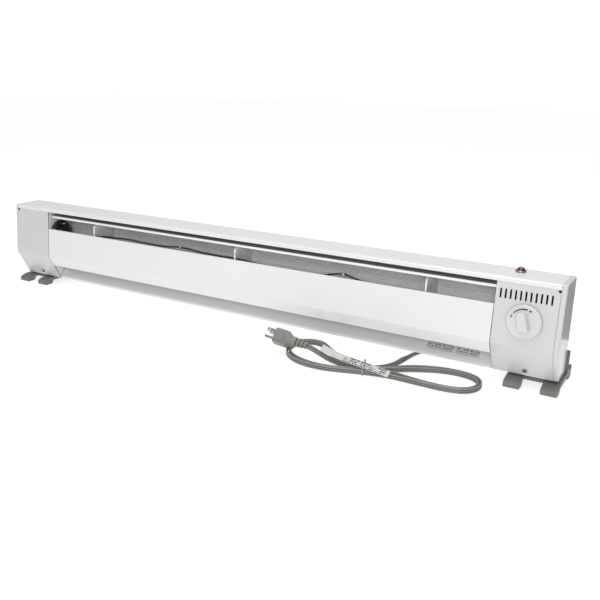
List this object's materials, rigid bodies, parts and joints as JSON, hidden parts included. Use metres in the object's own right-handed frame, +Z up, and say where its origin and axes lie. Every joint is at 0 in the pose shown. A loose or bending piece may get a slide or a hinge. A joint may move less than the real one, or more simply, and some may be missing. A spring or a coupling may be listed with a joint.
{
  "type": "portable electric baseboard heater",
  "caption": "Long low portable baseboard heater with a folded white steel case, outlet slot, finned element, thermostat knob, grey feet and a corded plug.",
  "frame": {"origin": "on the floor, under the middle of the box that the heater and its feet fill, without the cord", "axes": "+X along the heater towards the thermostat end, +Z up, the slotted front faces -Y"},
  "size_m": [1.228, 0.249, 0.1885],
  "materials": {
    "enamel": "white baked enamel, semi-gloss",
    "galvanised": "bare galvanised sheet",
    "element_steel": "heat-tinted steel sheath",
    "fin_aluminium": "mill finish",
    "ceramic": "unglazed bushing",
    "terminal_steel": "plated steel",
    "phenolic": "black phenolic",
    "sensing_line": "black sleeved line",
    "clip_plastic": "white nylon",
    "brass": "plain brass",
    "knob_plastic": "white moulded plastic",
    "lamp_bezel": "bright ring",
    "lamp_lens": "moulded red lens",
    "screw_steel": "zinc plated",
    "foot_plastic": "grey moulded plastic",
    "paper": "plain label stock",
    "wire_nut": "moulded plastic",
    "cord_vinyl": "grey vinyl",
    "blade_steel": "nickel plated",
    "tie": "white coated wire"
  },
  "bodies": {
    "heater": {"back_and_top_panel": "enamel", "left_end_panel": "enamel", "right_end_panel": "enamel", "left_junction_cover": "enamel", "control_cover": "enamel", "front_cover": "enamel", "bottom_pan": "enamel", "heat_deflector": "enamel", "rear_reflector": "galvanised", "left_bulkhead": "galvanised", "right_bulkhead": "galvanised", "element_bracket_1": "galvanised", "element_bracket_2": "galvanised", "element_bracket_3": "galvanised", "element_sheath": "element_steel", "element_fins_1": "fin_aluminium", "element_fins_2": "fin_aluminium", "element_fins_3": "fin_aluminium", "element_fins_4": "fin_aluminium", "element_bushing_left": "ceramic", "element_bushing_right": "ceramic", "element_terminal_left": "terminal_steel", "element_terminal_right": "terminal_steel", "limit_terminal_upper": "terminal_steel", "limit_terminal_lower": "terminal_steel", "high_limit_switch": "phenolic", "thermostat_body": "phenolic", "pilot_lamp_body": "phenolic", "limit_sensing_line": "sensing_line", "sensing_line_clip_1": "clip_plastic", "sensing_line_clip_2": "clip_plastic", "thermostat_terminal_1": "brass", "thermostat_terminal_2": "brass", "ground_screw": "brass", "plug_earth_pin": "brass", "pilot_lamp_bezel": "lamp_bezel", "pilot_lamp_lens": "lamp_lens", "cover_screw_left": "screw_steel", "cover_screw_right": "screw_steel", "foot_screw_left_1": "screw_steel", "foot_screw_left_2": "screw_steel", "foot_screw_right_1": "screw_steel", "foot_screw_right_2": "screw_steel", "foot_left": "foot_plastic", "foot_right": "foot_plastic", "rating_label_left": "paper", "rating_label_right": "paper", "cord_tag": "paper", "wire_nut_line": "wire_nut", "wire_nut_neutral": "wire_nut", "cord_strain_relief": "cord_vinyl", "cord_lead": "cord_vinyl", "cord_hank": "cord_vinyl", "cord_tail": "cord_vinyl", "plug_body": "cord_vinyl", "plug_blade_1": "blade_steel", "plug_blade_2": "blade_steel", "cord_tie": "tie"},
    "knob": {"thermostat_knob": "knob_plastic", "thermostat_shaft": "terminal_steel"}
  },
  "joints": [
    {"name": "thermostat_turn", "type": "hinge", "parent": "heater", "child": "knob", "pos_m": [0.553, -0.04268, 0.1153], "axis": [0, -0.9953, 0.0968], "range_deg": [-150, 120]}
  ]
}
